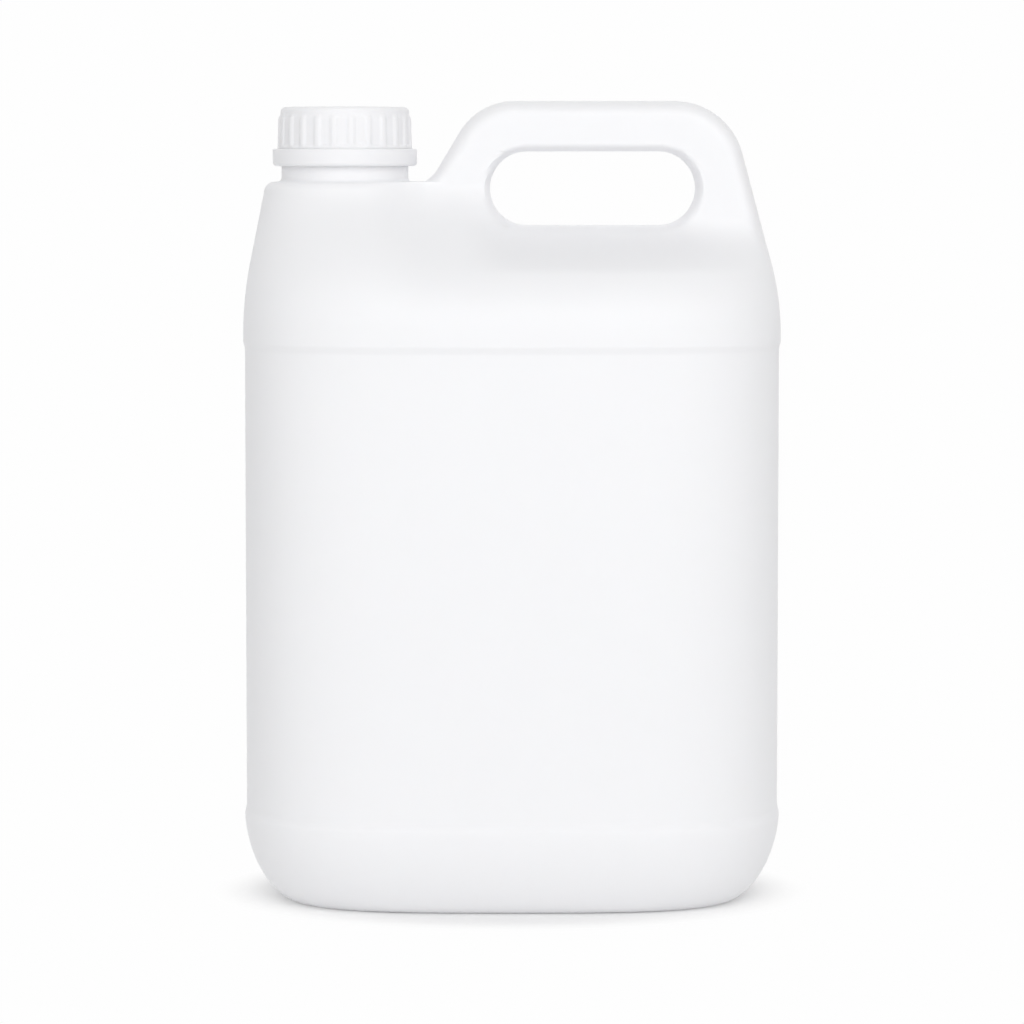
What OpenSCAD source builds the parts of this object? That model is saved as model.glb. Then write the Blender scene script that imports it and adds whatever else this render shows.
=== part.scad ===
// Five-litre blow-moulded jug with a through-handle, a ribbed screw cap and its tamper ring.
// The origin is the middle of the standing edge, +Z is up, the neck is at -X and the front faces -Y.

/* [Body] */
// Width of the body, side to side
body_w = 190; // [180:1:210]
// Depth of the body, front to back
body_d = 140; // [128:1:156]
// Height from the standing edge to the top of the handle
body_h = 282; // [265:1:320]
// Thickness of the blown wall
wall = 1.3; // [1:0.1:2]
// Squareness of the body's section, where 2 is an ellipse
section_n = 3.3; // [2.8:0.1:4]

/* [Base] */
// How far the standing edge lies inside the sides
foot_inset = 17; // [13:1:21]
// Height at which the base curve runs into the straight sides
base_rise = 30; // [26:1:40]
// Fullness of the base curve, where 2 is an ellipse
base_n = 1.7; // [1.5:0.1:2]
// Width of the flat ring that the jug stands on, at its front
foot_ring = 8; // [5:1:12]
// Height of the hollow inside that ring
push_up = 3; // [2:0.5:5]

/* [Label panel] */
// Depth of the panel at the front and back
panel_depth = 0.7; // [0.4:0.1:1.4]
// Depth of the panel where it runs round the sides
panel_side = 0.6; // [0.2:0.1:0.8]
// Height of the step at the panel's lower and upper edge
panel_step = 3.4; // [1:0.2:5]
// Height of the full-size rim between the panel and the shoulder
panel_rim = 2; // [1:0.5:6]

/* [Shoulder] */
// Height of the shoulder, from the rim to the platform round the neck
shoulder_h = 53.5; // [48:0.5:60]
// Height over which the sides curve from upright into their lean
shoulder_arc = 27; // [20:1:34]
// Lean of the neck side
neck_lean = 10.8; // [8:0.2:13]
// Lean of the handle side
handle_lean = 15; // [12:0.5:17]
// Depth of the tower under the neck
tower_d = 56; // [53:1:62]
// Radius round the edge of the platform
platform_edge = 3; // [2:0.5:3.5]

/* [Handle] */
// How far the platform lies below the top of the handle
handle_rise = 28.5; // [27:0.5:32]
// Depth of the handle, front to back
handle_d = 31; // [26:1:36]
// Height of the grip over the hand hole
grip_h = 17.8; // [16:0.2:20]
// Height of the hand hole
hole_h = 26.1; // [24:0.1:29]
// How far the hand hole ends before the body's handle side
hole_inset = 29.9; // [27:0.1:34]
// Gap between the tamper ring and the foot of the handle, for the fingers that turn the cap
finger_gap = 4.6; // [3.5:0.1:7]
// Radius of the bend at the neck end of the grip
front_r = 22.5; // [20:0.5:25]
// Lean of the handle's edge towards the neck
front_lean = 31; // [26:1:34]
// How far that bend starts before the round end of the hand hole
front_lead = 4.5; // [3:0.5:6]
// Radius of the bend at the far end of the grip
rear_r = 25; // [22:0.5:28]
// Rounding of the grip's outer edges
grip_edge = 6; // [4:0.5:7]
// Rounding of the hand hole's edges
hole_edge = 3; // [2:0.5:4]
// Height of the scoop that narrows the shoulder to the handle
scoop_h = 21; // [18:1:26]

/* [Neck] */
// How far the neck's axis lies inside the body's neck side
neck_inset = 35.7; // [34:0.1:38]
// Room for the thread between the neck and the skirt of the cap
thread_room = 1.4; // [1.2:0.1:1.8]
// Thickness of the neck's wall
neck_wall = 2; // [1.6:0.1:3]
// How far the collar above the platform stands out from the neck
collar_step = 2.5; // [2:0.1:3]
// How far the bead that holds the tamper ring down stands out from the collar
bead_step = 1.1; // [0.9:0.1:1.4]
// Gap between pieces that turn or slide past each other
clearance = 0.3; // [0.2:0.05:0.4]

/* [Cap] */
// Diameter across the grip ribs
cap_d = 47.8; // [47:0.1:50]
// How far the ribs stand proud
rib_h = 1.1; // [0.6:0.1:1.4]
// Number of grip ribs
rib_n = 24; // [18:1:36]
// Width of a rib at its root
rib_w = 3.4; // [2.4:0.1:4.4]
// Height of the cap above the tamper ring
cap_h = 14.5; // [14:0.5:18]
// Height of the plain rim above the ribs
cap_rim = 3.4; // [2.5:0.1:5]
// Thickness of the cap's skirt between the ribs
cap_wall = 1.4; // [1:0.1:1.5]
// Thickness of the cap's top
cap_top = 1.8; // [1.2:0.1:2.4]
// Thickness of the sealing disc under the top
disc_h = 1.2; // [0.8:0.1:2]

/* [Tamper ring] */
// Thickness of the tamper ring's wall
ring_wall = 1.4; // [1.2:0.1:2]
// Height of the tamper ring
ring_h = 6.1; // [5.5:0.1:7]
// How far the tamper ring hangs above the platform
ring_gap = 5.5; // [4.5:0.1:7]

/* [Hidden] */
$fn = 96;
same_point = 0.01;
cut_over = 1;

// Heights of the body's main levels
platform_z = body_h - handle_rise;
shoulder_z = platform_z - shoulder_h;
panel_top = shoulder_z - panel_rim;
hole_r = hole_h / 2;
hole_z = body_h - grip_h - hole_r;
scoop_over = 5;
scoop_z = hole_z - hole_r + scoop_over - scoop_h;

// Radii of the neck and the ring, worked out from the cap
cap_r = cap_d / 2 - rib_h;
cap_bore_r = cap_r - cap_wall;
neck_r = cap_bore_r - thread_room;
bore_r = neck_r - neck_wall;
collar_r = neck_r + collar_step;
bead_r = collar_r + bead_step;
ring_bore_r = bead_r + 2 * clearance;
ring_r = ring_bore_r + ring_wall;

// Heights of the neck, the ring and the cap
ring_z = platform_z + ring_gap;
cap_z = ring_z + ring_h + clearance;
disc_z = cap_z + cap_h - cap_top - disc_h;
hook_h = 2.2;
bead_h = 2;
bead_z = ring_z + hook_h + clearance;

// Small roundings
collar_fillet = 1.5;
lip_r = 0.7;
rim_r = 1.2;
ring_round = ring_wall;

// Places along the width: the neck, the handle's edge beside it and the two round ends of the hand hole
neck_x = -body_w / 2 + neck_inset;
tower_r = tower_d / 2;
front_foot_x = neck_x + ring_r + finger_gap;
front_zc = body_h - front_r;
front_zt = front_zc + front_r * sin(front_lean);
front_x = front_foot_x + (front_zt - platform_z) * tan(front_lean) + front_r * cos(front_lean);
hole_x0 = front_x + front_lead;
hole_x1 = body_w / 2 - hole_inset - hole_r;

// Shape of the waist where the tower narrows to the handle, and of the scoop's end beside it
tower_skew = 1.4;
waist_share = 0.25;
waist_x = neck_x + waist_share * tower_r;
scoop_fade = 25;
// Share of the inset by which the slopes of the shoulder are lowered inside, to keep the wall even
slope_share = 0.5;
grip_n = 2.6;
rear_run = 45;
front_flare = 1.8;
flare_h = 4.5;

// Shape of the hollow in the base
foot_scale = 1 - foot_ring / (body_d / 2 - foot_inset);
dome_n = 2.5;

// Rows of the jug's grid in each stretch of its height, and columns in each stretch of its width
dome_rows = 4;
foot_rows = 7;
step_rows = 3;
lift_rows = 4;
scoop_rows = 7;
bend_rows = 6;
lip_rows = 3;
grip_rows = 2;
outer_columns = [13, 7, 7, 9];
outer_detail = 1;
inner_columns = [7, 4, 4, 5];
inner_detail = 0.7;

function smooth(t) = let (c = min(max(t, 0), 1)) c * c * (3 - 2 * c);
function mix(a, b, t) = a + (b - a) * t;
// Share of the full depth at distance d from an edge that is rounded over r
function edge(d, r, n) = pow(1 - pow(min(max(1 - d / r, 0), 1), n), 1 / n);
// Places along a stretch, closer together at its start, at its end or at both
function to_start(t) = 1 - cos(90 * t);
function to_end(t) = sin(90 * t);
function to_both(t) = (1 - cos(180 * t)) / 2;

// Front outline, drawn inside the real one by the inset e
function base_in(z, e) =
    let (t = min(max((z - e) / (base_rise - e), 0), 1))
    foot_inset * (1 - pow(1 - pow(1 - t, base_n), 1 / base_n));
function panel_in(z) = smooth((z - base_rise) / panel_step) * smooth((panel_top - z) / panel_step);
function lean_in(z, lean) =
    let (h = max(z - shoulder_z, 0), r = shoulder_arc / sin(lean))
    h < shoulder_arc ? r - sqrt(r * r - h * h) : r * (1 - cos(lean)) + (h - shoulder_arc) * tan(lean);
function half_w(z, e) = body_w / 2 - e - base_in(z, e) - panel_side * panel_in(z);
function left_x(z, e) = lean_in(z, neck_lean) - half_w(z, e);

rear_zc = body_h - rear_r;
rear_zt = rear_zc + rear_r * sin(handle_lean);
rear_xc = body_w / 2 - lean_in(rear_zt, handle_lean) - rear_r * cos(handle_lean);
function right_x(z, e) =
    z > rear_zt
    ? rear_xc + sqrt(max(pow(rear_r - e, 2) - pow(z - rear_zc, 2), 0))
    : half_w(z, e) - lean_in(z, handle_lean);

function front_line(z) = front_foot_x + (z - platform_z) * tan(front_lean);
function front_edge_x(z, e) =
    z > front_zt
    ? front_x - sqrt(max(pow(front_r - e, 2) - pow(z - front_zc, 2), 0))
    : front_line(z) + e / cos(front_lean)
      - front_flare * pow(max(1 - max(z - platform_z, 0) / flare_h, 0), 2);
function hole_reach(z, e) = sqrt(max(pow(hole_r + e, 2) - pow(z - hole_z, 2), 0));

// Distances inside the outline of the handle and outside its hand hole
function rear_gap(x, z, e) =
    z > rear_zt && x > rear_xc
    ? rear_r - e - norm([x - rear_xc, z - rear_zc])
    : (right_x(min(z, rear_zt), e) - x) * cos(handle_lean);
function front_gap(x, z, e) =
    z > front_zt && x < front_x
    ? front_r - e - norm([x - front_x, z - front_zc])
    : (x - front_edge_x(min(z, front_zt), e)) * cos(front_lean);
function hole_gap(x, z, e) = norm([x - min(max(x, hole_x0), hole_x1), z - hole_z]) - hole_r - e;

// Half-depth of the shoulder at a place in the front view, before the scoop and the hand hole
function shoulder_share(z) = min(max((z - shoulder_z) / shoulder_h, 0), 1);
function waist(x) = smooth((x - waist_x) / (front_foot_x - waist_x));
function body_depth(x, z, e) =
    let (
        s = shoulder_share(z + slope_share * e),
        b = body_d / 2 - e - base_in(z, e) - panel_depth * panel_in(z),
        deck = mix(tower_r, handle_d / 2, waist(x)) - e,
        depth = mix(b, deck, smooth(pow(s, tower_skew))),
        left_run = mix(half_w(z, e), tower_r - e, smooth(s)),
        right_run = mix(half_w(z, e), rear_run, smooth(s)),
        near_left = edge(x - left_x(z, e), left_run, mix(section_n, 2, smooth(s))),
        near_right = edge(right_x(z, e) - x, right_run, mix(section_n, 2, smooth(s)))
    )
    depth * min(near_left, near_right);

// Share of the scoop under the hand hole, across the width and up the height
function scoop_side(x) = smooth(1 - (hole_x0 - x) / scoop_fade);
function scoop_up(z) = smooth((z - scoop_z) / scoop_h);
// Inset of the rounding along the edge of the platform, which runs out towards the handle
function platform_in(x, z, e) =
    let (
        d = min(max(platform_z - e - z, 0), platform_edge),
        inset = platform_edge - sqrt(pow(platform_edge, 2) - pow(platform_edge - d, 2)),
        foot_x = front_edge_x(platform_z, 0)
    )
    inset * (1 - smooth((x - waist_x) / (foot_x - waist_x)));

// Half-depth of the jug in the front view: above says which side of the platform's level counts
function half_depth(x, z, above, e) =
    let (
        grip = handle_d / 2 - e,
        rear = edge(rear_gap(x, z, e), grip_edge, grip_n),
        hole = edge(hole_gap(x, z, e), hole_edge, grip_n),
        cut = e + platform_in(x, z, e)
    )
    above
    ? grip
      * min(edge(front_gap(x, z, e), grip_edge, grip_n), rear)
      * edge(body_h - e - z, grip_edge, grip_n)
      * hole
    : mix(body_depth(x, z, cut), grip * rear, scoop_side(x) * scoop_up(z + slope_share * e)) * hole;

// Rows of the grid from the middle of the base to the top: [height, scale, level]
// Levels: 0 below the hand hole, 1 up to the platform, 2 the platform, 3 up to the hole's top, 4 the grip
function grid_rows(e, k) =
    let (
        top = body_h - e,
        deck = platform_z - e,
        low = hole_z - hole_r - e,
        high = hole_z + hole_r + e,
        turn_a = acos((hole_z - deck + platform_edge) / (hole_r + e)),
        turn_b = acos((hole_z - deck) / (hole_r + e)),
        dome = round(dome_rows * k),
        foot = round(foot_rows * k),
        step = round(step_rows * k),
        lift = round(lift_rows * k),
        scoop = round(scoop_rows * k),
        bend = round(bend_rows * k),
        rim = round(lip_rows * k),
        grip = grip_rows,
        grip_low = high + hole_edge,
        grip_high = top - grip_edge
    )
    concat(
        [for (i = [0:dome]) [e + push_up * (1 - pow(i / dome, dome_n)), foot_scale * i / dome, 0]],
        [for (i = [0:foot]) [mix(e, base_rise, 1 - pow(cos(90 * i / foot), 2 / base_n)), 1, 0]],
        [for (i = [1:step]) [base_rise + panel_step * i / step, 1, 0]],
        [[(base_rise + panel_top) / 2, 1, 0]],
        [for (i = [0:step]) [panel_top - panel_step * (1 - i / step), 1, 0]],
        [for (i = [0:lift]) [mix(shoulder_z, scoop_z, i / lift), 1, 0]],
        [for (i = [1:scoop]) [mix(scoop_z, low - hole_edge, i / scoop), 1, 0]],
        [for (i = [1:rim]) [low - hole_edge * (1 - sin(90 * i / rim)), 1, 0]],
        [for (i = [1:bend]) [hole_z - (hole_r + e) * cos(turn_a * i / bend), 1, 1]],
        [for (i = [1:rim]) [deck - platform_edge * (1 - sin(90 * i / rim)), 1, 1]],
        [[deck, 1, 2]],
        [for (i = [1:bend]) [hole_z - (hole_r + e) * cos(mix(turn_b, 180, i / bend)), 1, 3]],
        [for (i = [1:rim]) [high + hole_edge * (1 - cos(90 * i / rim)), 1, 4]],
        [for (i = [1:grip]) [mix(grip_low, grip_high, i / grip), 1, 4]],
        [for (i = [1:bend]) [top - grip_edge * (1 - sin(90 * i / bend)), 1, 4]]
    );

// Place across the width of column i: the tower, the front leg, the stretch of the hole and the rear leg
function column_x(i, count, z, level, e) =
    let (
        tower = count[0],
        leg = count[0] + count[1],
        mid = leg + count[2],
        foot_x = front_edge_x(platform_z, e),
        start = level < 2 ? foot_x : front_edge_x(z, e),
        at_hole = level > 0 && level < 4,
        leg_end = at_hole ? hole_x0 - hole_reach(z, e) : hole_x0,
        rear_start = at_hole ? hole_x1 + hole_reach(z, e) : hole_x1,
        both = scoop_up(z),
        rounded = level < 2 || level == 2 && i < tower ? platform_in(left_x(z, e), z, e) : 0
    )
    i < tower ? mix(left_x(z, e) + rounded, foot_x, to_start(i / tower))
    : i < leg ? let (t = (i - tower) / count[1]) mix(start, leg_end, mix(t, to_both(t), both))
    : i < mid ? mix(leg_end, rear_start, (i - leg) / count[2])
    : let (t = (i - mid) / count[3]) mix(rear_start, right_x(z, e), mix(to_end(t), to_both(t), both));

// Points of the front half, row by row, with y as the half-depth
function grid_points(rows, count, e) =
    let (
        leg = count[0] + count[1],
        mid = leg + count[2],
        last = mid + count[3]
    )
    [for (row = rows) [for (i = [0:last])
        let (
            z = row[1] < 1 ? e : row[0],
            x = column_x(i, count, z, row[2], e),
            on_end = i == last || (i == 0 && row[2] < 2),
            on_deck = row[2] == 2 && i <= count[0],
            on_front = row[2] > 2 && i <= count[0],
            on_hole = row[2] > 0 && row[2] < 4 && i >= leg && i <= mid,
            y = on_end || on_deck || on_front || on_hole ? 0 : half_depth(x, z, row[2] > 1, e)
        )
        [x * row[1], max(y, 0) * row[1], row[0]]
    ]];

// Closed skin through the grid and its mirror image, drawn inside the real one by the inset e
module skin(count, k, e) {
    rows = grid_rows(e, k);
    pts = grid_points(rows, count, e);
    n = count[0] + count[1] + count[2] + count[3] + 1;
    flat = [for (row = pts) each row];
    front = [for (p = flat) [p.x, -p.y, p.z]];
    ids = [for (j = [0:len(rows) - 1]) [for (i = [0:n - 1])
        j == 0 ? 0 : norm(pts[j][i] - pts[j - 1][i]) < same_point ? (j - 1) * n + i : j * n + i
    ]];
    back_ids = [for (row = ids) [for (id = row) flat[id].y < same_point ? id : id + len(flat)]];
    leg = count[0] + count[1];
    mid = leg + count[2];
    cells = [for (j = [1:len(rows) - 1]) for (i = [0:n - 2])
        let (level = rows[j][2])
        if (!(level > 2 && i < count[0]) && !(level > 0 && level < 4 && i >= leg && i < mid)) [j, i]
    ];
    faces = [for (c = cells) for (side = [0, 1])
        let (
            g = side == 0 ? ids : back_ids,
            a = g[c[0] - 1][c[1]],
            b = g[c[0] - 1][c[1] + 1],
            d = g[c[0]][c[1]],
            f = g[c[0]][c[1] + 1],
            m = len(flat),
            fall = norm(flat[a % m] - flat[f % m]) < norm(flat[b % m] - flat[d % m]),
            one = fall ? [a, d, f] : [a, d, b],
            two = fall ? [a, f, b] : [b, d, f]
        )
        for (t = [one, two])
            if (t[0] != t[1] && t[1] != t[2] && t[2] != t[0]) side == 0 ? t : [t[2], t[1], t[0]]
    ];
    polyhedron(concat(front, flat), faces);
}

// Blown jug: one hollow wall that runs through the body, the handle and the neck
module jug() {
    color("#f3f3f5") difference() {
        union() {
            skin(outer_columns, outer_detail, 0);
            translate([neck_x, 0, 0]) neck();
        }
        skin(inner_columns, inner_detail, wall);
        translate([neck_x, 0, platform_z - 2 * wall]) cylinder(r = bore_r, h = body_h - platform_z);
    }
}

// Neck: a collar on the platform, the bead over the tamper ring and the lip that seals
module neck() {
    rotate_extrude() difference() {
        polygon([
            [0, platform_z - wall / 2],
            [collar_r + collar_fillet, platform_z - wall / 2],
            [collar_r + collar_fillet, platform_z],
            [collar_r, platform_z + collar_fillet],
            [collar_r, bead_z],
            [bead_r, bead_z],
            [bead_r, bead_z + bead_h / 4],
            [collar_r, bead_z + bead_h],
            [neck_r, bead_z + bead_h + collar_r - neck_r],
            [neck_r, disc_z - lip_r],
            [neck_r - lip_r, disc_z],
            [0, disc_z]
        ]);
        translate([collar_r + collar_fillet, platform_z + collar_fillet]) circle(r = collar_fillet);
    }
}

// Screw cap: a plain skirt and top with straight grip ribs under the rim
module screw_cap() {
    rib_z = cap_h - cap_rim;
    color("#f6f6f8") translate([neck_x, 0, cap_z]) {
        difference() {
            union() {
                cylinder(r = cap_r, h = cap_h - rim_r);
                translate([0, 0, cap_h - rim_r]) rotate_extrude() union() {
                    square([cap_r - rim_r, rim_r]);
                    intersection() {
                        translate([cap_r - rim_r, 0]) circle(r = rim_r);
                        square([cap_r, rim_r]);
                    }
                }
                for (i = [0:rib_n - 1]) rotate(360 * (i + 0.5) / rib_n) rib(rib_z);
            }
            translate([0, 0, -cut_over]) cylinder(r = cap_bore_r, h = cap_h - cap_top + cut_over);
        }
    }
}

// One grip rib of the cap, from the lower edge to the rim
module rib(height) {
    inner_r = cap_r - cap_wall / 2;
    crest_r = cap_d / 2;
    side = rib_w / 2;
    flat = rib_w / 5;
    foot_r = sqrt(cap_r * cap_r - side * side);
    linear_extrude(height) polygon([
        [inner_r, -side],
        [foot_r, -side],
        [crest_r, -flat],
        [crest_r, flat],
        [foot_r, side],
        [inner_r, side]
    ]);
}

// Sealing disc, held under the top of the cap and pressed on the lip of the neck
module sealing_disc() {
    color("#e9e9ea") translate([neck_x, 0, disc_z]) cylinder(r = cap_bore_r - clearance, h = disc_h);
}

// Tamper ring, which stays on the collar under the bead when the cap is unscrewed
module tamper_ring() {
    hook_r = collar_r + clearance;
    color("#f6f6f8") translate([neck_x, 0, ring_z]) rotate_extrude() difference() {
        union() {
            translate([0, ring_round]) square([ring_r, ring_h - ring_round]);
            square([ring_r - ring_round, ring_h]);
            translate([ring_r - ring_round, ring_round]) circle(r = ring_round);
        }
        square([hook_r, ring_h]);
        translate([0, hook_h]) square([ring_bore_r, ring_h]);
    }
}

jug();
screw_cap();
sealing_disc();
tamper_ring();
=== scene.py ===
"""Looks of a five-litre blown plastic jug with a through-handle, a ribbed screw cap and a tamper ring."""
import math

import bmesh
import bpy
from mathutils import Matrix, Vector


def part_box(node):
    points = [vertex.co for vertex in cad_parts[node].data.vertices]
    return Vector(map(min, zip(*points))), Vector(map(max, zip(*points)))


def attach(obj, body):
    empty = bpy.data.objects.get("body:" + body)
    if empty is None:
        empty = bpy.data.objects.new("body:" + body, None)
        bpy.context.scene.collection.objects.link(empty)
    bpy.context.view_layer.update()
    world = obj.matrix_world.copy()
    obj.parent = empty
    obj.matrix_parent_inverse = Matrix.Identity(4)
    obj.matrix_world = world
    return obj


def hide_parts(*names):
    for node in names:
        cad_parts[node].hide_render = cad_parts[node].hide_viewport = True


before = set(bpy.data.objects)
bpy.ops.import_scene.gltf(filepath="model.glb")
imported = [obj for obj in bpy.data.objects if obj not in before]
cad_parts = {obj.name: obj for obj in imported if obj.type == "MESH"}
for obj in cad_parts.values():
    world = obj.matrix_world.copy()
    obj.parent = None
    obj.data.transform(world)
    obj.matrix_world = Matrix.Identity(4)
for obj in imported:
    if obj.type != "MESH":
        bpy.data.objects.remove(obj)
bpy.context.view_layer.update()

# Jug: one hollow piece of white high-density polyethylene, blown in a two-part mould.
# The body, the scooped shoulder, the handle and the neck are one wall, and the hand hole is where
# the two mould halves pinched the wall shut. Sizes are in millimetres, and the mesh is in metres.
MM = 0.001


def node_box(node):
    """Lowest and highest corner of a node of the frame, in millimetres."""
    low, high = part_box(node)
    return Vector(low) / MM, Vector(high) / MM


jug_low, jug_high = node_box("jug")
ring_low, ring_high = node_box("tamper_ring")
disc_low, disc_high = node_box("sealing_disc")

# Names that end in _n are the exponents of rounded outlines, and larger ones are squarer
body_w = jug_high.x - jug_low.x
body_d = jug_high.y - jug_low.y
body_h = jug_high.z
wall = 1.3
section_n = 3.3
foot_inset = 17
base_rise = 30
base_n = 1.7
foot_ring = 8
push_up = 3
dome_n = 2.5
foot_scale = 1 - foot_ring / (body_d / 2 - foot_inset)

platform_drop = 28.5
platform_z = body_h - platform_drop
shoulder_h = 53.5
shoulder_z = platform_z - shoulder_h
shoulder_arc = 27
neck_lean = math.radians(10.8)
handle_lean = math.radians(15)
panel_rim = 2
panel_top = shoulder_z - panel_rim
panel_depth = 1.1
panel_side = 0.6
panel_step = 3.4

neck_x = (ring_low.x + ring_high.x) / 2
tower_r = 28
tower_skew = 1.4
rear_run = 45
platform_edge = 3

handle_d = 31
grip_n = 2.6
grip_edge = 6
hole_edge = 3
hole_r = 13.05
grip_h = 17.8
rear_leg_w = 29.9
hole_z = body_h - grip_h - hole_r
hole_x1 = body_w / 2 - rear_leg_w - hole_r
scoop_h = 21
scoop_over = 5
scoop_z = hole_z - hole_r + scoop_over - scoop_h
scoop_fade = 25
slope_share = 0.5
rear_r = 25
rear_zc = body_h - rear_r
rear_zt = rear_zc + rear_r * math.sin(handle_lean)
front_r = 22.5
front_lean = math.radians(31)
front_flare = 1.8
flare_h = 4.5
finger_gap = 4.6
front_foot_x = ring_high.x + finger_gap
front_zc = body_h - front_r
front_zt = front_zc + front_r * math.sin(front_lean)
slope_run = (front_zt - platform_z) * math.tan(front_lean)
front_x = front_foot_x + slope_run + front_r * math.cos(front_lean)
hole_past_bend = 4.5
hole_x0 = front_x + hole_past_bend
waist_share = 0.25
waist_x = neck_x + waist_share * tower_r


def clamp(t):
    return min(max(t, 0), 1)


def smooth(t):
    c = clamp(t)
    return c * c * (3 - 2 * c)


def mix(a, b, t):
    return a + (b - a) * t


def root(value):
    return math.sqrt(max(value, 0))


def edge_share(distance, radius, n):
    """Share of the full depth at a distance from an edge that is rounded over a radius."""
    return (1 - clamp(1 - distance / radius) ** n) ** (1 / n)


# In the functions below, e is the inset of the skin: none outside, and the wall's thickness inside
def base_in(z, e):
    """How far the base curve lies inside the upright sides."""
    t = clamp((z - e) / (base_rise - e))
    return foot_inset * (1 - (1 - (1 - t) ** base_n) ** (1 / base_n))


def panel_in(z):
    """Share of the label panel's depth at a height."""
    return smooth((z - base_rise) / panel_step) * smooth((panel_top - z) / panel_step)


def lean_in(z, lean):
    """How far a leaning side lies inside the upright one."""
    h = max(z - shoulder_z, 0)
    r = shoulder_arc / math.sin(lean)
    if h < shoulder_arc:
        return r - math.sqrt(r * r - h * h)
    return r * (1 - math.cos(lean)) + (h - shoulder_arc) * math.tan(lean)


rear_xc = body_w / 2 - lean_in(rear_zt, handle_lean) - rear_r * math.cos(handle_lean)


def half_w(z, e):
    return body_w / 2 - e - base_in(z, e) - panel_side * panel_in(z)


def left_x(z, e):
    return lean_in(z, neck_lean) - half_w(z, e)


def right_x(z, e):
    if z > rear_zt:
        return rear_xc + root((rear_r - e) ** 2 - (z - rear_zc) ** 2)
    return half_w(z, e) - lean_in(z, handle_lean)


def front_edge_x(z, e):
    """Edge of the handle towards the neck: a bend, a straight slope and a small flare at its foot."""
    if z > front_zt:
        return front_x - root((front_r - e) ** 2 - (z - front_zc) ** 2)
    flare = front_flare * max(1 - max(z - platform_z, 0) / flare_h, 0) ** 2
    return front_foot_x + (z - platform_z) * math.tan(front_lean) + e / math.cos(front_lean) - flare


def hole_reach(z, e):
    return root((hole_r + e) ** 2 - (z - hole_z) ** 2)


def rear_gap(x, z, e):
    if z > rear_zt and x > rear_xc:
        return rear_r - e - math.hypot(x - rear_xc, z - rear_zc)
    return (right_x(min(z, rear_zt), e) - x) * math.cos(handle_lean)


def front_gap(x, z, e):
    if z > front_zt and x < front_x:
        return front_r - e - math.hypot(x - front_x, z - front_zc)
    return (x - front_edge_x(min(z, front_zt), e)) * math.cos(front_lean)


def hole_gap(x, z, e):
    return math.hypot(x - min(max(x, hole_x0), hole_x1), z - hole_z) - hole_r - e


def body_depth(x, z, e):
    """Half-depth of the body and of the tower under the neck, without the handle."""
    s = clamp((z + slope_share * e - shoulder_z) / shoulder_h)
    full = body_d / 2 - e - base_in(z, e) - panel_depth * panel_in(z)
    deck = mix(tower_r, handle_d / 2, smooth((x - waist_x) / (front_foot_x - waist_x))) - e
    n = mix(section_n, 2, smooth(s))
    near_left = edge_share(x - left_x(z, e), mix(half_w(z, e), tower_r - e, smooth(s)), n)
    near_right = edge_share(right_x(z, e) - x, mix(half_w(z, e), rear_run, smooth(s)), n)
    return mix(full, deck, smooth(s ** tower_skew)) * min(near_left, near_right)


def scoop_side(x):
    return smooth(1 - (hole_x0 - x) / scoop_fade)


def scoop_up(z):
    return smooth((z - scoop_z) / scoop_h)


def platform_in(x, z, e):
    """Inset of the rounding along the edge of the platform, which runs out towards the handle."""
    d = min(max(platform_z - e - z, 0), platform_edge)
    inset = platform_edge - root(platform_edge ** 2 - (platform_edge - d) ** 2)
    foot_x = front_edge_x(platform_z, 0)
    return inset * (1 - smooth((x - waist_x) / (foot_x - waist_x)))


def half_depth(x, z, above, e):
    """Half-depth of the jug at a place in the front view, above or below the platform's level."""
    grip = handle_d / 2 - e
    hole = edge_share(hole_gap(x, z, e), hole_edge, grip_n)
    if not above:
        body = body_depth(x, z, e + platform_in(x, z, e))
        rear = edge_share(rear_gap(x, z, e), grip_edge, grip_n)
        return mix(body, grip * rear, scoop_side(x) * scoop_up(z + slope_share * e)) * hole
    outer_gap = min(front_gap(x, z, e), rear_gap(x, z, e), body_h - e - z)
    return grip * edge_share(outer_gap, grip_edge, grip_n) * hole


# Levels of the grid's rows: below the hand hole, beside it up to the platform, on the platform,
# over the platform up to the hole's top, and in the grip
BELOW, BESIDE, DECK, OVER, GRIP = range(5)


def shares(count, first=1):
    """Even steps from 0 or from the first share up to 1."""
    steps = round(count)
    return [i / steps for i in range(first, steps + 1)]


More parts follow.
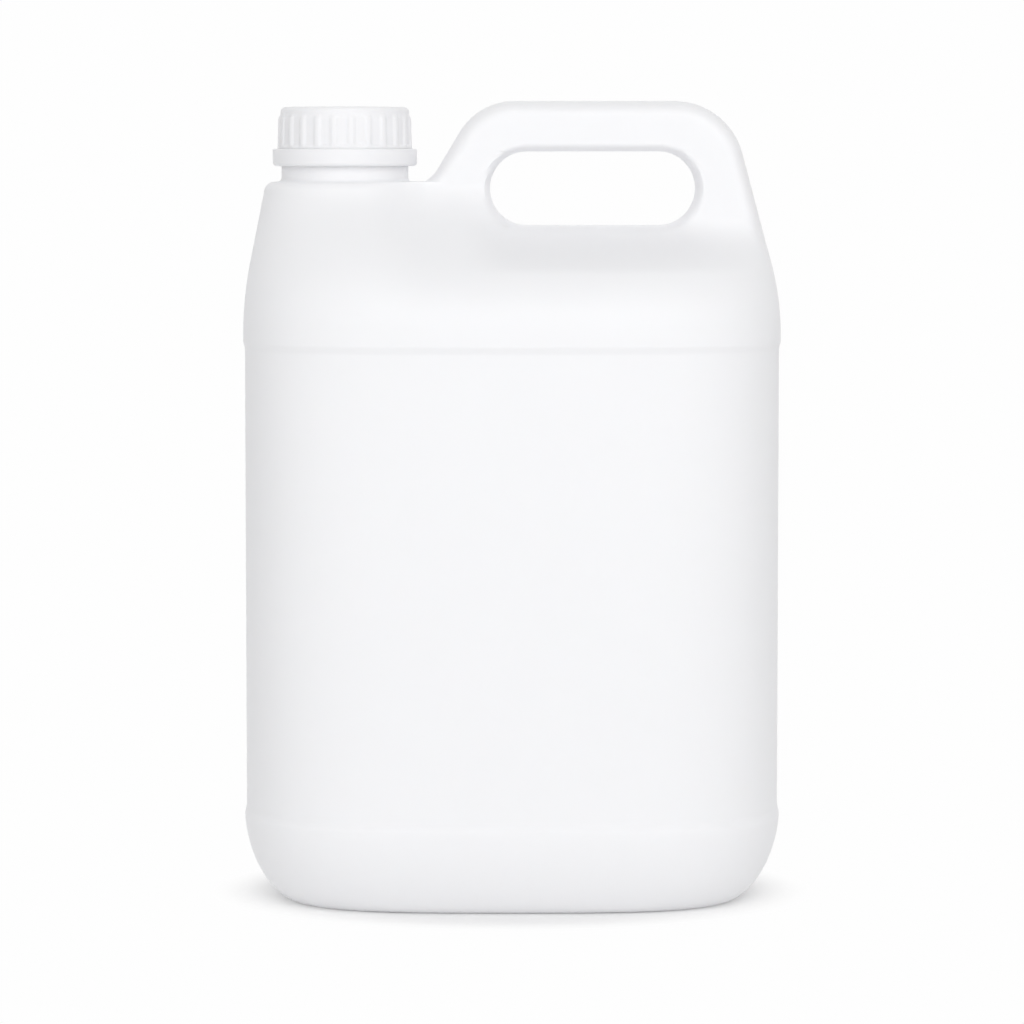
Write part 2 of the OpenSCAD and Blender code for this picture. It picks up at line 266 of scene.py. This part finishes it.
def grid_rows(e, detail):
    """Rows from the middle of the base to the top of the handle, each with a height, a scale and a level."""
    top = body_h - e
    deck = platform_z - e
    low = hole_z - hole_r - e
    high = hole_z + hole_r + e
    reach = hole_r + e
    turn_a = math.acos((hole_z - deck + platform_edge) / reach)
    turn_b = math.acos((hole_z - deck) / reach)
    quarter = math.pi / 2
    lip = 3 * detail
    bend = 6 * detail
    step = 3 * detail
    panel_z0 = base_rise + panel_step
    panel_z1 = panel_top - panel_step
    rows = [(e + push_up * (1 - t ** dome_n), foot_scale * t, BELOW) for t in shares(4 * detail, 0)]
    for t in shares(7 * detail, 0):
        rows.append((mix(e, base_rise, 1 - math.cos(quarter * t) ** (2 / base_n)), 1, BELOW))
    rows += [(base_rise + panel_step * t, 1, BELOW) for t in shares(step)]
    rows += [(mix(panel_z0, panel_z1, t), 1, BELOW) for t in shares(5 * detail)]
    rows += [(panel_top - panel_step * (1 - t), 1, BELOW) for t in shares(step)]
    rows += [(mix(shoulder_z, scoop_z, t), 1, BELOW) for t in shares(4 * detail, 0)]
    rows += [(mix(scoop_z, low - hole_edge, t), 1, BELOW) for t in shares(7 * detail)]
    rows += [(low - hole_edge * (1 - math.sin(quarter * t)), 1, BELOW) for t in shares(lip)]
    rows += [(hole_z - reach * math.cos(turn_a * t), 1, BESIDE) for t in shares(bend)]
    rows += [(deck - platform_edge * (1 - math.sin(quarter * t)), 1, BESIDE) for t in shares(lip)]
    rows += [(deck, 1, DECK)]
    rows += [(hole_z - reach * math.cos(mix(turn_b, math.pi, t)), 1, OVER) for t in shares(bend)]
    rows += [(high + hole_edge * (1 - math.cos(quarter * t)), 1, GRIP) for t in shares(lip)]
    rows += [(mix(high + hole_edge, top - grip_edge, t), 1, GRIP) for t in shares(2 * detail)]
    rows += [(top - grip_edge * (1 - math.sin(quarter * t)), 1, GRIP) for t in shares(bend)]
    return rows


def column_x(i, stops, z, level, e):
    """Place across the width of a column: in the tower, the front leg, beside the hole or the rear leg."""
    tower, leg, mid, last = stops
    foot_x = front_edge_x(platform_z, e)
    at_hole = BELOW < level < GRIP
    leg_end = hole_x0 - hole_reach(z, e) if at_hole else hole_x0
    rear_start = hole_x1 + hole_reach(z, e) if at_hole else hole_x1
    even = scoop_up(z)
    if i < tower:
        rounded = platform_in(left_x(z, e), z, e) if level <= DECK else 0
        return mix(left_x(z, e) + rounded, foot_x, 1 - math.cos(math.pi / 2 * i / tower))
    if i < leg:
        t = (i - tower) / (leg - tower)
        start = foot_x if level < DECK else front_edge_x(z, e)
        return mix(start, leg_end, mix(t, (1 - math.cos(math.pi * t)) / 2, even))
    if i < mid:
        return mix(leg_end, rear_start, (i - leg) / (mid - leg))
    t = (i - mid) / (last - mid)
    spread = mix(math.sin(math.pi / 2 * t), (1 - math.cos(math.pi * t)) / 2, even)
    return mix(rear_start, right_x(z, e), spread)


same_point = 0.01


def jug_skin(columns, detail, e):
    """The jug's skin inset by e: a grid laid over the front and mirrored, open at the platform."""
    rows = grid_rows(e, detail)
    stops = [sum(columns[:k + 1]) for k in range(4)]
    tower, leg, mid, last = stops
    half_size = (last / 2, (len(rows) - 1) / 2, 0)
    to_index = Matrix.Translation(half_size) @ Matrix.Diagonal((half_size[0], half_size[1], 1, 1))
    bm = bmesh.new()
    bmesh.ops.create_grid(bm, x_segments=last, y_segments=len(rows) - 1, size=1, matrix=to_index)

    open_cells = []
    for face in bm.faces:
        middle = face.calc_center_median()
        level = rows[math.ceil(middle.y)][2]
        beside_handle = level >= DECK and middle.x < tower
        in_hole = BELOW < level < GRIP and leg < middle.x < mid
        if beside_handle or in_hole:
            open_cells.append(face)
    bmesh.ops.delete(bm, geom=open_cells, context="FACES")

    for vert in bm.verts:
        i = round(vert.co.x)
        height, scale, level = rows[round(vert.co.y)]
        z = e if scale < 1 else height
        x = column_x(i, stops, z, level, e)
        on_end = i == last or (i == 0 and level < DECK)
        on_front = level >= DECK and i <= tower
        on_hole = BELOW < level < GRIP and leg <= i <= mid
        flat = on_end or on_front or on_hole
        y = 0 if flat else max(half_depth(x, z, level >= DECK, e), 0)
        vert.co = (x * scale, -y * scale, height)
    bmesh.ops.remove_doubles(bm, verts=bm.verts, dist=same_point)
    half = bm.verts[:] + bm.edges[:] + bm.faces[:]
    bmesh.ops.mirror(bm, geom=half, axis="Y", merge_dist=same_point)
    return bm


def arc(centre, radius, start, end, count):
    """Points of a rounded corner as radius and height, between two angles in degrees."""
    angles = [math.radians(mix(start, end, i / count)) for i in range(count + 1)]
    return [(centre[0] + radius * math.cos(a), centre[1] + radius * math.sin(a)) for a in angles]


def revolve(bm, outline, steps, closed=False):
    """Turns an outline of radius and height round the neck's axis."""
    verts = [bm.verts.new((neck_x + r, 0, z)) for r, z in outline]
    ends = verts[1:] + verts[:1] if closed else verts[1:]
    edges = [bm.edges.new(pair) for pair in zip(verts, ends)]
    axis = dict(cent=(neck_x, 0, 0), axis=(0, 0, 1), angle=math.tau)
    bmesh.ops.spin(bm, geom=verts + edges, steps=steps, use_merge=True, **axis)


def close_deck(bm, z):
    """Fills the flat platform between the skin and the ring of the neck that lies in it."""
    rim = [e for e in bm.edges if e.is_boundary and all(abs(v.co.z - z) < same_point for v in e.verts)]
    bmesh.ops.triangle_fill(bm, edges=rim, use_beauty=True, normal=(0, 0, 1))


skin_columns = (30, 16, 24, 22)
skin_detail = 3
inside_columns = (14, 8, 10, 11)
inside_detail = 1.4
jug_bm = jug_skin(skin_columns, skin_detail, 0)
inner_bm = jug_skin(inside_columns, inside_detail, wall)
inner_mesh = bpy.data.meshes.new("jug_inside")
inner_bm.to_mesh(inner_mesh)
inner_bm.free()
jug_bm.from_mesh(inner_mesh)
bpy.data.meshes.remove(inner_mesh)

neck_r = 20
bore_r = 18
collar_r = 22.5
bead_r = 23.6
bead_h = 2
bead_lift = 2.5
bead_round = 0.2
bead_z = ring_low.z + bead_lift
collar_fillet = 1.5
lip_z = disc_low.z
lip_r = 0.7
shelf_z = bead_z + bead_h + collar_r - neck_r
neck_outline = arc((collar_r + collar_fillet, platform_z + collar_fillet), collar_fillet, 270, 180, 6)
neck_outline += [(collar_r, bead_z)]
neck_outline += arc((bead_r - bead_round, bead_z + bead_round), bead_round, 270, 360, 3)
neck_outline += [(bead_r, bead_z + bead_h / 4), (collar_r, bead_z + bead_h), (neck_r, shelf_z)]
neck_outline += arc((neck_r - lip_r, lip_z - lip_r), lip_r, 0, 90, 5)
neck_outline += arc((bore_r + lip_r, lip_z - lip_r), lip_r, 90, 180, 5)
neck_outline += [(bore_r, platform_z - wall)]
round_steps = 128
revolve(jug_bm, neck_outline, round_steps)
close_deck(jug_bm, platform_z)
close_deck(jug_bm, platform_z - wall)


def finish_mesh(bm, name, sharp_angle):
    """Object of a mesh drawn in millimetres, with outward faces and smooth shading up to an angle."""
    bmesh.ops.remove_doubles(bm, verts=bm.verts, dist=same_point / 10)
    bmesh.ops.recalc_face_normals(bm, faces=bm.faces)
    bmesh.ops.scale(bm, vec=(MM, MM, MM), verts=bm.verts)
    mesh = bpy.data.meshes.new(name)
    bm.to_mesh(mesh)
    bm.free()
    mesh.shade_smooth()
    mesh.set_sharp_from_angle(angle=math.radians(sharp_angle))
    piece = bpy.data.objects.new(name, mesh)
    bpy.context.scene.collection.objects.link(piece)
    return piece


def linear(hex_code):
    """Linear colour of an sRGB hex value."""
    parts = [int(hex_code[k:k + 2], 16) / 255 for k in (1, 3, 5)]
    return [p / 12.92 if p <= 0.04045 else ((p + 0.055) / 1.055) ** 2.4 for p in parts] + [1]


def add_node(tree, kind, inputs, **settings):
    """Adds a node with its settings, and sets or links its inputs by name or number."""
    node = tree.nodes.new(kind)
    for key, value in settings.items():
        setattr(node, key, value)
    for key, value in inputs.items():
        if isinstance(value, bpy.types.NodeSocket):
            tree.links.new(value, node.inputs[key])
        else:
            node.inputs[key].default_value = value
    return node


def new_material(name):
    """An empty node material, and its tree."""
    material = bpy.data.materials.new(name)
    material.use_nodes = True
    material.node_tree.nodes.clear()
    return material, material.node_tree


def per_metre(size_mm):
    """Scale of a pattern whose features are that many millimetres apart."""
    return 1 / (size_mm * MM)


# Blown polyethylene: milky and softly shiny, so highlights are broad and light creeps a little way in.
# The blowing leaves a faint orange peel, and the mould's halves leave a fine raised line in the middle.
blown_hdpe, tree = new_material("blown_polyethylene")
place = add_node(tree, "ShaderNodeTexCoord", {})
cloud = add_node(tree, "ShaderNodeTexNoise",
                 {"Vector": place.outputs["Object"], "Scale": per_metre(45), "Detail": 2.0})
tint = add_node(tree, "ShaderNodeMix",
                {"Factor": cloud.outputs["Fac"], "A": linear("#f5f5f7"), "B": linear("#f7f7f9")},
                data_type="RGBA")
gloss = add_node(tree, "ShaderNodeMapRange",
                 {"Value": cloud.outputs["Fac"], "To Min": 0.46, "To Max": 0.56})
peel = add_node(tree, "ShaderNodeTexNoise",
                {"Vector": place.outputs["Object"], "Scale": per_metre(2.4), "Detail": 1.0})
peel_bump = add_node(tree, "ShaderNodeBump", {"Height": peel.outputs["Fac"], "Distance": 0.012 * MM})
axes = add_node(tree, "ShaderNodeSeparateXYZ", {"Vector": place.outputs["Object"]})
off_seam = add_node(tree, "ShaderNodeMath", {0: axes.outputs["Y"]}, operation="ABSOLUTE")
seam = add_node(tree, "ShaderNodeMapRange",
                {"Value": off_seam.outputs[0], "From Max": 0.4 * MM, "To Min": 1.0, "To Max": 0.0},
                interpolation_type="SMOOTHSTEP")
seam_bump = add_node(tree, "ShaderNodeBump",
                     {"Height": seam.outputs["Result"], "Distance": 0.1 * MM,
                      "Normal": peel_bump.outputs["Normal"]})
skin = add_node(tree, "ShaderNodeBsdfPrincipled",
                {"Base Color": tint.outputs["Result"], "Roughness": gloss.outputs["Result"],
                 "IOR": 1.54, "Specular IOR Level": 0.3,
                 "Subsurface Weight": 0.2, "Subsurface Radius": (1.0, 0.95, 0.9),
                 "Subsurface Scale": 2.5 * MM, "Normal": seam_bump.outputs["Normal"]})
add_node(tree, "ShaderNodeOutputMaterial", {"Surface": skin.outputs["BSDF"]})

jug = finish_mesh(jug_bm, "jug_blown_wall", 38)
jug.data.materials.append(blown_hdpe)
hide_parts("jug")
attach(jug, "jug")

# Base seam: the low ridge across the hollow of the base, where the mould pinched the end of the tube
# of polyethylene shut. It is part of the same wall and lies in the plane of the two halves.
seam_half = 48
seam_w = 1.8
seam_h = 0.8
seam_round = 0.35
seam_fade = 8
seam_end_share = 0.4
seam_bm = bmesh.new()
bmesh.ops.create_cube(seam_bm, size=1)
bmesh.ops.scale(seam_bm, vec=(2 * seam_half, seam_w, seam_h + wall / 2), verts=seam_bm.verts)
long_edges = [e for e in seam_bm.edges if abs(e.verts[0].co.x - e.verts[1].co.x) > seam_half]
bmesh.ops.subdivide_edges(seam_bm, edges=long_edges, cuts=24, use_grid_fill=True)
lower_edges = [e for e in seam_bm.edges if all(v.co.z < 0 for v in e.verts) and not e.is_wire]
corner_edges = [e for e in lower_edges if e.calc_face_angle(0) > 1]
bmesh.ops.bevel(seam_bm, geom=corner_edges, offset=seam_round, segments=3, profile=0.5,
                affect="EDGES", material=-1)
ring_half = foot_scale * (body_w / 2 - foot_inset)
for vert in seam_bm.verts:
    fade = 1 - smooth((abs(vert.co.x) - seam_half + seam_fade) / seam_fade)
    dome = push_up * (1 - (abs(vert.co.x) / ring_half) ** dome_n)
    vert.co.z = dome + wall / 4 - seam_h / 2 * fade + vert.co.z * mix(seam_end_share, 1, fade)
base_seam = finish_mesh(seam_bm, "jug_base_seam", 50)
base_seam.data.materials.append(blown_hdpe)
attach(base_seam, "jug")

# Neck thread: a single rounded ridge that winds two turns up the neck, blown with the rest of the jug.
# It runs out into the neck at both ends, and takes the ridge inside the cap.
thread_pitch = 4
thread_start = 30
thread_steps = 72
thread_run_out = 0.12
thread_drop = 10.5
thread_turns = 2.1
thread_rise = 1.05
thread_sink = 0.4
crest_round = 0.2


def thread_section(z, root_r, side, rise, foot, crest):
    """Ridge round a height that stands out or in, with a sunken root; foot and crest reach down and up."""
    ridge = [(-thread_sink, -foot[0]), (0, -foot[0]), (rise - crest_round, -crest[0]), (rise, 0),
             (rise - crest_round, crest[1]), (0, foot[1]), (-thread_sink, foot[1])]
    return [(root_r + side * out, z + up) for out, up in ridge]


def helix(bm, section, turns):
    """Winds a closed section of radius and height up the neck's axis, and sinks it away at both ends."""
    verts = [bm.verts.new((neck_x + r, 0, z)) for r, z in section]
    face = bm.faces.new(verts)
    steps = round(turns * thread_steps)
    start = Matrix.Rotation(math.radians(thread_start), 3, "Z")
    bmesh.ops.rotate(bm, verts=verts, cent=(neck_x, 0, 0), matrix=start)
    bmesh.ops.spin(bm, geom=[face], cent=(neck_x, 0, 0), axis=(0, 0, 1), angle=math.tau * turns, steps=steps,
                   dvec=(0, 0, thread_pitch / thread_steps))
    bmesh.ops.remove_doubles(bm, verts=bm.verts, dist=same_point / 10)
    base_r = section[0][0]
    low_z = sum(z for _, z in section) / len(section)
    for vert in bm.verts:
        arm = Vector((vert.co.x - neck_x, vert.co.y, 0))
        climbed = (vert.co.z - low_z) / thread_pitch
        share = smooth(min(climbed, turns - climbed) / thread_run_out + 0.5)
        vert.co.x = neck_x + arm.x * mix(base_r, arm.length, share) / arm.length
        vert.co.y = arm.y * mix(base_r, arm.length, share) / arm.length


thread_z = lip_z - thread_drop
thread_foot = (1.1, 0.75)
thread_crest = (0.55, 0.45)
thread_bm = bmesh.new()
helix(thread_bm, thread_section(thread_z, neck_r, 1, thread_rise, thread_foot, thread_crest), thread_turns)
neck_thread = finish_mesh(thread_bm, "jug_neck_thread", 45)
neck_thread.data.materials.append(blown_hdpe)
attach(neck_thread, "jug")

# Tamper ring: a moulded polyethylene band that snaps over the bead of the collar and stays there.
# Its thin bridges to the cap are broken, and their stubs stay on its upper inner edge.
ring_r = (ring_high.x - ring_low.x) / 2
ring_clearance = 0.6
hook_clearance = 0.3
ring_bore_r = bead_r + ring_clearance
hook_r = collar_r + hook_clearance
hook_h = 2.2
hook_lead_h = 0.5
hook_lead_w = 0.4
round_low = 1.4
round_high = 0.5
ring_outline = [(hook_r, ring_low.z + hook_lead_h), (hook_r + hook_lead_w, ring_low.z)]
ring_outline += arc((ring_r - round_low, ring_low.z + round_low), round_low, 270, 360, 6)
ring_outline += arc((ring_r - round_high, ring_high.z - round_high), round_high, 0, 90, 4)
ring_outline += [(ring_bore_r, ring_high.z)]
ring_outline += [(ring_bore_r, ring_low.z + hook_h), (hook_r, ring_low.z + hook_h)]
ring_bm = bmesh.new()
revolve(ring_bm, ring_outline, round_steps, closed=True)

stub_n = 12
stub_size = (0.9, 0.8, 0.6)
stub_reach = 0.2
stub_drop = 0.1
for k in range(stub_n):
    spot = Matrix.Translation((neck_x, 0, ring_high.z - stub_size[2] / 2 - stub_drop))
    spot = spot @ Matrix.Rotation(math.tau * (k + 0.5) / stub_n, 4, "Z")
    spot = spot @ Matrix.Translation((ring_bore_r + stub_size[0] / 2 - stub_reach, 0, 0))
    spot = spot @ Matrix.Diagonal((*stub_size, 1))
    bmesh.ops.create_cube(ring_bm, size=1, matrix=spot)

# Moulded polyethylene: a shade greyer than the blown wall, with a closer, harder surface.
moulded_pe, tree = new_material("moulded_polyethylene")
place = add_node(tree, "ShaderNodeTexCoord", {})
cloud = add_node(tree, "ShaderNodeTexNoise",
                 {"Vector": place.outputs["Object"], "Scale": per_metre(9), "Detail": 2.0})
tint = add_node(tree, "ShaderNodeMix",
                {"Factor": cloud.outputs["Fac"], "A": linear("#f0f0f2"), "B": linear("#f3f3f5")},
                data_type="RGBA")
gloss = add_node(tree, "ShaderNodeMapRange",
                 {"Value": cloud.outputs["Fac"], "To Min": 0.42, "To Max": 0.52})
grain = add_node(tree, "ShaderNodeTexNoise",
                 {"Vector": place.outputs["Object"], "Scale": per_metre(0.8), "Detail": 1.0})
grain_bump = add_node(tree, "ShaderNodeBump", {"Height": grain.outputs["Fac"], "Distance": 0.006 * MM})
skin = add_node(tree, "ShaderNodeBsdfPrincipled",
                {"Base Color": tint.outputs["Result"], "Roughness": gloss.outputs["Result"], "IOR": 1.53,
                 "Subsurface Weight": 0.2, "Subsurface Radius": (1.0, 0.95, 0.9),
                 "Subsurface Scale": 1.5 * MM, "Normal": grain_bump.outputs["Normal"]})
add_node(tree, "ShaderNodeOutputMaterial", {"Surface": skin.outputs["BSDF"]})

ring = finish_mesh(ring_bm, "tamper_ring_band", 40)
ring.data.materials.append(moulded_pe)
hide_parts("tamper_ring")
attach(ring, "ring")

# Sealing disc: a round cut from a sheet of white foamed polyethylene, pushed up under the cap's top.
# It is squeezed between the cap and the lip of the neck, and it rises with the cap.
disc_r = (disc_high.x - disc_low.x) / 2
disc_round = 0.25
disc_outline = [(0, disc_low.z)]
disc_outline += arc((disc_r - disc_round, disc_low.z + disc_round), disc_round, 270, 360, 3)
disc_outline += arc((disc_r - disc_round, disc_high.z - disc_round), disc_round, 0, 90, 3)
disc_outline += [(0, disc_high.z)]
disc_steps = 96
disc_bm = bmesh.new()
revolve(disc_bm, disc_outline, disc_steps)

# Foamed polyethylene: dull, with the fine closed cells of the foam showing as small dimples.
foam_pe, tree = new_material("foamed_polyethylene")
place = add_node(tree, "ShaderNodeTexCoord", {})
cells = add_node(tree, "ShaderNodeTexVoronoi", {"Vector": place.outputs["Object"], "Scale": per_metre(0.7)})
tint = add_node(tree, "ShaderNodeMix",
                {"Factor": cells.outputs["Distance"], "A": linear("#e4e4e6"), "B": linear("#eeeeef")},
                data_type="RGBA")
cell_bump = add_node(tree, "ShaderNodeBump", {"Height": cells.outputs["Distance"], "Distance": 0.1 * MM})
skin = add_node(tree, "ShaderNodeBsdfPrincipled",
                {"Base Color": tint.outputs["Result"], "Roughness": 0.85, "IOR": 1.5,
                 "Normal": cell_bump.outputs["Normal"]})
add_node(tree, "ShaderNodeOutputMaterial", {"Surface": skin.outputs["BSDF"]})

disc = finish_mesh(disc_bm, "sealing_disc_foam", 40)
disc.data.materials.append(foam_pe)
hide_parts("sealing_disc")
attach(disc, "disc")

# Screw cap: one moulded polyethylene piece, a skirt with soft straight grip ribs under a plain rounded rim.
# The ribs have a little draft, so that the cap comes out of its mould, and the foot of the skirt reaches
# down inside the tamper ring. No rib lies on the frame's axes, so the width across them is a value here.
cap_high = node_box("screw_cap")[1]
cap_d = 47.8
cap_rib_h = 1.1
cap_rib_n = 24
cap_rib_w = 3.4
crest_w = 1
draft = 0.35
rim_round = 1.8
rim_gap = 0.2
rib_fade = 2.4
groove_share = 0.4
band_h = 0.9
band_run = 1.4
foot_drop = 0.45
foot_chamfer = 0.6
cap_wall = 1.4
cap_top = 1.8
cap_r = cap_d / 2 - cap_rib_h
cap_bore_r = cap_r - cap_wall
cap_foot = ring_high.z - foot_drop
rib_top = cap_high.z - rim_round - rim_gap
skirt_z = [rib_top - rib_fade * t for t in shares(8, 0)]
skirt_z += [mix(rib_top - rib_fade, cap_foot + band_h + band_run, t) for t in shares(4)]
skirt_z += [cap_foot + band_h + band_run * (1 - t) for t in shares(6)]
skirt_z += [cap_foot]
cap_outline = [(0, cap_high.z)]
cap_outline += arc((cap_r - rim_round, cap_high.z - rim_round), rim_round, 90, 0, 8)
cap_outline += [(cap_r, z) for z in skirt_z]
cap_outline += [(cap_bore_r + foot_chamfer, cap_foot), (cap_bore_r, cap_foot + foot_chamfer)]
cap_outline += [(cap_bore_r, cap_high.z - cap_top), (0, cap_high.z - cap_top)]
cap_bm = bmesh.new()
strips_a_rib = 16
revolve(cap_bm, cap_outline, cap_rib_n * strips_a_rib)


def skirt_share(angle, z):
    """Share of the ribs' height at an angle and a height: ribs and grooves over a plain band at the foot."""
    turn = angle / math.tau * cap_rib_n % 1 - 0.5
    off_middle = abs(turn) * math.tau / cap_rib_n * cap_r
    flank = smooth((off_middle - crest_w / 2) / (cap_rib_w / 2 - crest_w / 2))
    ribbed = smooth((z - cap_foot - band_h) / band_run)
    return mix(1, groove_share, flank * ribbed) * smooth((rib_top - z) / rib_fade)


for vert in cap_bm.verts:
    arm = Vector((vert.co.x - neck_x, vert.co.y, 0))
    if arm.length > cap_r - same_point and vert.co.z < rib_top:
        height = cap_rib_h - draft * (vert.co.z - cap_foot) / (rib_top - cap_foot)
        share = skirt_share(math.atan2(arm.y, arm.x), vert.co.z)
        vert.co += arm.normalized() * height * share
cap = finish_mesh(cap_bm, "screw_cap_shell", 40)
cap.data.materials.append(moulded_pe)
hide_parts("screw_cap")
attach(cap, "cap")

# Cap thread: the matching ridge inside the skirt, moulded with the cap.
# It hooks under the ridge of the neck and draws the cap down on the sealing disc.
cap_thread_rise = 0.95
cap_thread_foot = (0.75, 1.0)
cap_thread_crest = (0.45, 0.5)
cap_thread_turns = 1.9
cap_thread_z = thread_z - thread_pitch / 2
cap_thread_bm = bmesh.new()
cap_ridge = thread_section(cap_thread_z, cap_bore_r, -1, cap_thread_rise, cap_thread_foot, cap_thread_crest)
helix(cap_thread_bm, cap_ridge, cap_thread_turns)
cap_thread = finish_mesh(cap_thread_bm, "screw_cap_thread", 45)
cap_thread.data.materials.append(moulded_pe)
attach(cap_thread, "cap")

# Studio: a milky white table that runs out into a white room. Round it is a tent of cloth, bright in front
# and behind and dark at its sides, so that the white jug's edges show against the white.
# A softbox above the camera's right shoulder gives the light its direction.
white = linear("#fefefe")
floor_r = 2.5
floor_bm = bmesh.new()
bmesh.ops.create_circle(floor_bm, cap_ends=True, segments=96, radius=floor_r)
floor_mesh = bpy.data.meshes.new("studio_floor")
floor_bm.to_mesh(floor_mesh)
floor_bm.free()
floor = bpy.data.objects.new("studio_floor", floor_mesh)
bpy.context.scene.collection.objects.link(floor)


def looked_at_by(tree):
    """Socket that is 1 where the camera, a reflection or a see-through surface looks, and 0 for light."""
    path = add_node(tree, "ShaderNodeLightPath", {})
    mirrored = add_node(tree, "ShaderNodeMath",
                        {0: path.outputs["Is Glossy Ray"], 1: path.outputs["Is Transmission Ray"]},
                        operation="MAXIMUM")
    seen = add_node(tree, "ShaderNodeMath",
                    {0: path.outputs["Is Camera Ray"], 1: mirrored.outputs[0]}, operation="MAXIMUM")
    return seen.outputs[0]


# White table: plain and matt, with the jug's shadow near its foot, and past that as white as the room.
# It is milky, so a little light from under it reaches the jug's foot.
shadow_w = body_w / 1.15
shadow_start = 0.9
shadow_end = 1.3
milky_share = 0.15
table_white, tree = new_material("white_table")
looked_at = looked_at_by(tree)
place = add_node(tree, "ShaderNodeTexCoord", {})
footprint = (2 / (shadow_w * MM), 2 / (body_d * MM), 1)
spread = add_node(tree, "ShaderNodeVectorMath",
                  {0: place.outputs["Object"], 1: footprint}, operation="MULTIPLY")
reach = add_node(tree, "ShaderNodeVectorMath", {0: spread.outputs[0]}, operation="LENGTH")
far = add_node(tree, "ShaderNodeMapRange",
               {"Value": reach.outputs["Value"], "From Min": shadow_start, "From Max": shadow_end},
               interpolation_type="SMOOTHSTEP")
far_seen = add_node(tree, "ShaderNodeMath", {0: far.outputs["Result"], 1: looked_at}, operation="MULTIPLY")
table_skin = add_node(tree, "ShaderNodeBsdfDiffuse", {"Color": linear("#f6f6f6")})
far_table = add_node(tree, "ShaderNodeEmission", {"Color": white, "Strength": 1.0})
table = add_node(tree, "ShaderNodeMixShader",
                 {0: far_seen.outputs[0], 1: table_skin.outputs[0], 2: far_table.outputs[0]})
through = add_node(tree, "ShaderNodeMapRange", {"Value": looked_at, "To Min": milky_share, "To Max": 0.0})
see_through = add_node(tree, "ShaderNodeBsdfTransparent", {})
milky_table = add_node(tree, "ShaderNodeMixShader",
                       {0: through.outputs["Result"], 1: table.outputs[0], 2: see_through.outputs[0]})
add_node(tree, "ShaderNodeOutputMaterial", {"Surface": milky_table.outputs[0]})
floor.data.materials.append(table_white)

# White room: what the camera sees of it is plain white, and the light comes from the tent's cloth.
# The cloth is brightest straight in front of the jug and straight behind it.
tent_side = 0.05
tent_wall = 1.25
tent_top = 0.3
tent_below = 0.7
room = bpy.data.worlds.new("white_room")
room.use_nodes = True
tree = room.node_tree
tree.nodes.clear()
looked_at = looked_at_by(tree)
place = add_node(tree, "ShaderNodeTexCoord", {})
axes = add_node(tree, "ShaderNodeSeparateXYZ", {"Vector": place.outputs["Generated"]})
off_sides = add_node(tree, "ShaderNodeMath", {0: axes.outputs["Y"]}, operation="ABSOLUTE")
tent = add_node(tree, "ShaderNodeMapRange",
                {"Value": off_sides.outputs[0], "To Min": tent_side, "To Max": tent_wall})
above = add_node(tree, "ShaderNodeMapRange",
                 {"Value": axes.outputs["Z"], "From Max": 1.0, "To Max": tent_top})
below = add_node(tree, "ShaderNodeMapRange",
                 {"Value": axes.outputs["Z"], "From Max": -1.0, "To Max": tent_below})
ends = add_node(tree, "ShaderNodeMath", {0: above.outputs["Result"], 1: below.outputs["Result"]})
room_level = add_node(tree, "ShaderNodeMath", {0: tent.outputs["Result"], 1: ends.outputs[0]})
room_light = add_node(tree, "ShaderNodeBackground",
                      {"Color": linear("#ffffff"), "Strength": room_level.outputs[0]})
room_seen = add_node(tree, "ShaderNodeBackground", {"Color": white, "Strength": 1.0})
room_mix = add_node(tree, "ShaderNodeMixShader",
                    {0: looked_at, 1: room_light.outputs[0], 2: room_seen.outputs[0]})
add_node(tree, "ShaderNodeOutputWorld", {"Surface": room_mix.outputs[0]})
bpy.context.scene.world = room

softbox_data = bpy.data.lights.new("softbox", "AREA")
softbox_data.shape = "RECTANGLE"
softbox_data.size = 1.2
softbox_data.size_y = 1.0
softbox_data.energy = 5
softbox = bpy.data.objects.new("softbox", softbox_data)
softbox_aim = Vector((0, 0, 0.14))
softbox.location = softbox_aim + Vector((0.3, -1.4, 1.0))
softbox.rotation_euler = (softbox_aim - softbox.location).to_track_quat("-Z", "Y").to_euler()
bpy.context.scene.collection.objects.link(softbox)

# Camera: a long lens in front of the jug, a little under the top of its handle, looking slightly down.
# The long lens keeps the jug's sides nearly parallel.
camera_back = 1.65
camera_h = 0.2647
camera_pitch = 4.466
camera_data = bpy.data.cameras.new("camera")
camera_data.lens = 162.94
camera_data.sensor_width = 36
camera_data.clip_start = 0.01
camera = bpy.data.objects.new("camera", camera_data)
camera.location = (0, -camera_back, camera_h)
camera.rotation_euler = (math.radians(90 - camera_pitch), 0, 0)
bpy.context.scene.collection.objects.link(camera)
bpy.context.scene.camera = camera
bpy.context.scene.view_settings.view_transform = "Standard"
